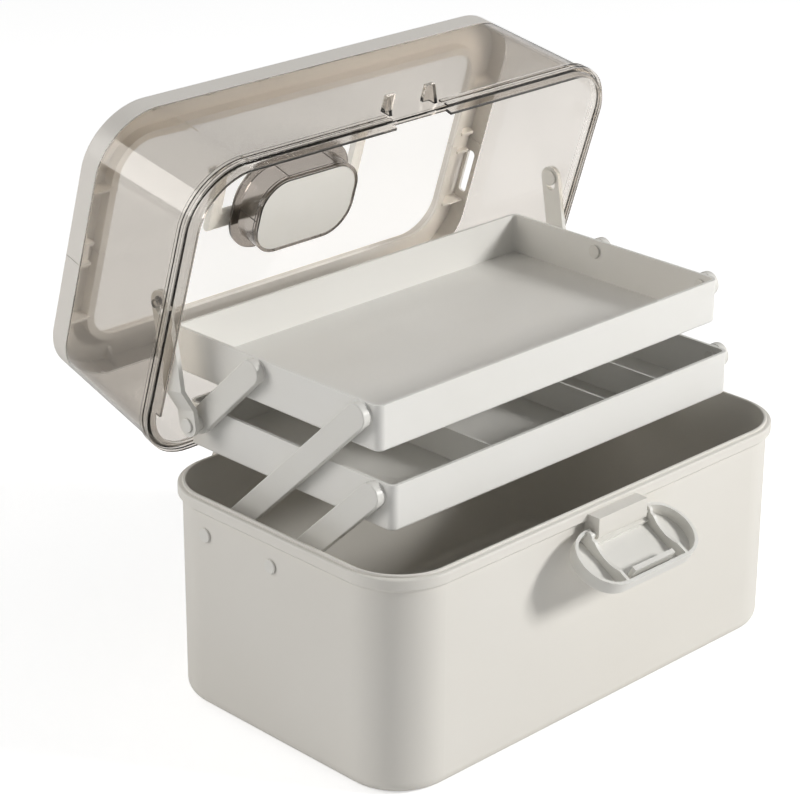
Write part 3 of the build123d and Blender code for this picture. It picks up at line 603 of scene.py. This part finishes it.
class ORGANIZER_OT_handle(bpy.types.Operator):
    """Finish the folding carry handle"""

    bl_idname = "organizer.handle"
    bl_label = "Carry handle"

    def execute(self, context):
        colours = context.scene.organizer_colours
        dress(off_white("Handle Satin", colours.latch, 0.34, drift_scale=30.0), "carry_handle")
        return {"FINISHED"}


class ORGANIZER_OT_latch(bpy.types.Operator):
    """Finish the front latch"""

    bl_idname = "organizer.latch"
    bl_label = "Latch"

    def execute(self, context):
        colours = context.scene.organizer_colours
        dress(off_white("Latch Satin", colours.latch, 0.3, drift_scale=30.0), "latch", "latch_pin")
        return {"FINISHED"}


class ORGANIZER_OT_pins(bpy.types.Operator):
    """Finish the steel hinge pins"""

    bl_idname = "organizer.pins"
    bl_label = "Steel pins"

    def execute(self, context):
        colours = context.scene.organizer_colours
        dress(steel("Drawn Steel", colours.steel), "hinge_pins", "handle_pins")
        return {"FINISHED"}


def area_light(name, place, size, power, tint):
    """Square soft light aimed at the object."""
    data = bpy.data.lights.new(name, "AREA")
    data.shape = "SQUARE"
    data.size = size
    data.energy = power
    data.color = tint
    lamp = bpy.data.objects.new(name, data)
    bpy.context.scene.collection.objects.link(lamp)
    lamp.location = place
    lamp.rotation_mode = "QUATERNION"
    lamp.rotation_quaternion = (Vector(LIGHT_TARGET) - Vector(place)).to_track_quat("-Z", "Y")


class ORGANIZER_OT_stage(bpy.types.Operator):
    """Make the pale floor, the light and the camera"""

    bl_idname = "organizer.stage"
    bl_label = "Stage"

    def execute(self, context):
        scene = context.scene
        values = scene.organizer_stage
        mesh = bpy.data.meshes.new("studio_floor")
        shape = bmesh.new()
        bmesh.ops.create_grid(shape, x_segments=8, y_segments=8, size=FLOOR_HALF)
        shape.to_mesh(mesh)
        shape.free()
        floor = bpy.data.objects.new("studio_floor", mesh)
        scene.collection.objects.link(floor)
        mesh.materials.append(self.floor_material())
        area_light("key_light", KEY_PLACE, KEY_SIZE, values.key_power, KEY_TINT)
        area_light("fill_light", FILL_PLACE, FILL_SIZE, values.fill_power, FILL_TINT)
        self.make_sky(scene, values.sky)
        self.make_camera(scene, values)
        scene.view_settings.view_transform = "Standard"
        return {"FINISHED"}

    def floor_material(self):
        """Pale floor that the camera sees as near white, with the object's shadow kept."""
        made, tree, shader, coords, surface = new_material("Studio Floor")
        tone = place_group(
            tree, "Plastic Tone", (-300, 250), Colour=(0.86, 0.86, 0.86, 1.0),
            Second_Colour=(0.84, 0.84, 0.84, 1.0), Drift=0.3, Drift_Scale=2.0, Specks=0.0,
        )
        shader.inputs["Roughness"].default_value = 0.9
        shader.inputs["Specular IOR Level"].default_value = 0.1
        glow = node(tree, "ShaderNodeEmission", (300, -400), Color=WHITE)
        path = tree.nodes.new("ShaderNodeLightPath")
        path.location = (-500, -400)
        either = tree.nodes.new("ShaderNodeMath")
        either.operation = "MAXIMUM"
        either.location = (-250, -400)
        level = tree.nodes.new("ShaderNodeMath")
        level.operation = "MULTIPLY"
        level.inputs[1].default_value = FLOOR_GLOW
        level.location = (0, -400)
        both = tree.nodes.new("ShaderNodeAddShader")
        both.location = (520, 0)
        join(
            tree,
            (coords, "Object", tone, "Vector"), (tone, "Colour", shader, "Base Color"),
            (path, "Is Camera Ray", either, 0), (path, "Is Transmission Ray", either, 1),
            (either, 0, level, 0), (level, 0, glow, "Strength"), (shader, 0, both, 0),
            (glow, 0, both, 1), (both, 0, surface, 0),
        )
        return made

    def make_sky(self, scene, strength):
        """Even light, dim behind the camera and, to glass, dim overhead; white to the camera."""
        world = bpy.data.worlds.new("studio_sky")
        world.use_nodes = True
        tree = world.node_tree
        tree.nodes.clear()
        surface = tree.nodes.new("ShaderNodeOutputWorld")
        surface.location = (600, 0)
        coords = tree.nodes.new("ShaderNodeTexCoord")
        coords.location = (-1100, 0)
        toward = tree.nodes.new("ShaderNodeVectorMath")
        toward.operation = "DOT_PRODUCT"
        toward.inputs[1].default_value = DIM_SIDE
        toward.location = (-900, 200)
        sideways = node(
            tree, "ShaderNodeMapRange", (-700, 200), From_Min=0.35, From_Max=1.0, To_Min=strength,
            To_Max=strength * DIM_SIDE_SHARE,
        )
        height = tree.nodes.new("ShaderNodeSeparateXYZ")
        height.location = (-900, -150)
        overhead = node(
            tree, "ShaderNodeMapRange", (-700, -150), From_Min=0.15, From_Max=0.6, To_Min=1.0,
            To_Max=DIM_OVERHEAD_SHARE,
        )
        even = node(tree, "ShaderNodeBackground", (-200, 200), Color=(0.98, 0.99, 1.0, 1.0))
        glass = node(tree, "ShaderNodeBackground", (-200, 0), Color=WHITE)
        shown = node(tree, "ShaderNodeBackground", (-200, -200), Color=WHITE, Strength=1.0)
        path = tree.nodes.new("ShaderNodeLightPath")
        path.location = (-200, 500)
        first = tree.nodes.new("ShaderNodeMixShader")
        first.location = (100, 100)
        second = tree.nodes.new("ShaderNodeMixShader")
        second.location = (350, 0)
        join(
            tree,
            (coords, "Generated", toward, 0), (toward, "Value", sideways, 0), (sideways, 0, even, "Strength"),
            (coords, "Generated", height, 0), (height, "Z", overhead, 0), (overhead, 0, glass, "Strength"),
            (path, "Is Transmission Ray", first, 0), (even, 0, first, 1), (glass, 0, first, 2),
            (path, "Is Camera Ray", second, 0), (first, 0, second, 1), (shown, 0, second, 2),
            (second, 0, surface, 0),
        )
        scene.world = world

    def make_camera(self, scene, values):
        """Camera at the photographed view."""
        data = bpy.data.cameras.new("studio_camera")
        camera = bpy.data.objects.new("studio_camera", data)
        scene.collection.objects.link(camera)
        data.sensor_width = 36.0
        data.lens = values.lens
        data.clip_start = 0.05
        data.clip_end = 50.0
        heading, dip, roll = values.camera_heading, values.camera_dip, values.camera_roll
        ahead = Vector(
            (math.sin(heading) * math.cos(dip), math.cos(heading) * math.cos(dip), -math.sin(dip))
        )
        right = ahead.cross(Vector((0, 0, 1))).normalized()
        above = right.cross(ahead)
        across = math.cos(roll) * right + math.sin(roll) * above
        up = -math.sin(roll) * right + math.cos(roll) * above
        turn = Matrix((across, up, -ahead)).transposed()
        camera.matrix_world = Matrix.Translation(Vector(values.camera_place)) @ turn.to_4x4()
        scene.camera = camera


class ORGANIZER_PT_panel(bpy.types.Panel):
    """Lists the groups of pieces and their values"""

    bl_label = "Medicine Organizer"
    bl_idname = "ORGANIZER_PT_panel"
    bl_space_type = "VIEW_3D"
    bl_region_type = "UI"
    bl_category = "Organizer"

    def draw(self, context):
        scene = context.scene
        for group in (
            scene.organizer_colours, scene.organizer_finish, scene.organizer_well, scene.organizer_stage
        ):
            box = self.layout.box()
            for name in group.__annotations__:
                box.prop(group, name)
        for operator in OPERATORS:
            self.layout.operator(operator.bl_idname)


OPERATORS = (
    ORGANIZER_OT_base,
    ORGANIZER_OT_trays,
    ORGANIZER_OT_arms,
    ORGANIZER_OT_lid,
    ORGANIZER_OT_well,
    ORGANIZER_OT_handle,
    ORGANIZER_OT_latch,
    ORGANIZER_OT_pins,
    ORGANIZER_OT_stage,
)
GROUP_CLASSES = (OrganizerColours, OrganizerFinish, OrganizerWell, OrganizerStage)


def register():
    """Register the classes and hang the values on the scene."""
    for item in GROUP_CLASSES + OPERATORS + (ORGANIZER_PT_panel,):
        bpy.utils.register_class(item)
    bpy.types.Scene.organizer_colours = bpy.props.PointerProperty(type=OrganizerColours)
    bpy.types.Scene.organizer_finish = bpy.props.PointerProperty(type=OrganizerFinish)
    bpy.types.Scene.organizer_well = bpy.props.PointerProperty(type=OrganizerWell)
    bpy.types.Scene.organizer_stage = bpy.props.PointerProperty(type=OrganizerStage)


def unregister():
    """Take the values and the classes away again."""
    del bpy.types.Scene.organizer_stage
    del bpy.types.Scene.organizer_well
    del bpy.types.Scene.organizer_finish
    del bpy.types.Scene.organizer_colours
    for item in reversed(GROUP_CLASSES + OPERATORS + (ORGANIZER_PT_panel,)):
        bpy.utils.unregister_class(item)


def main():
    """Make every group of pieces."""
    register()
    for operator in OPERATORS:
        group, name = operator.bl_idname.split(".")
        getattr(getattr(bpy.ops, group), name)()


if __name__ == "__main__":
    main()
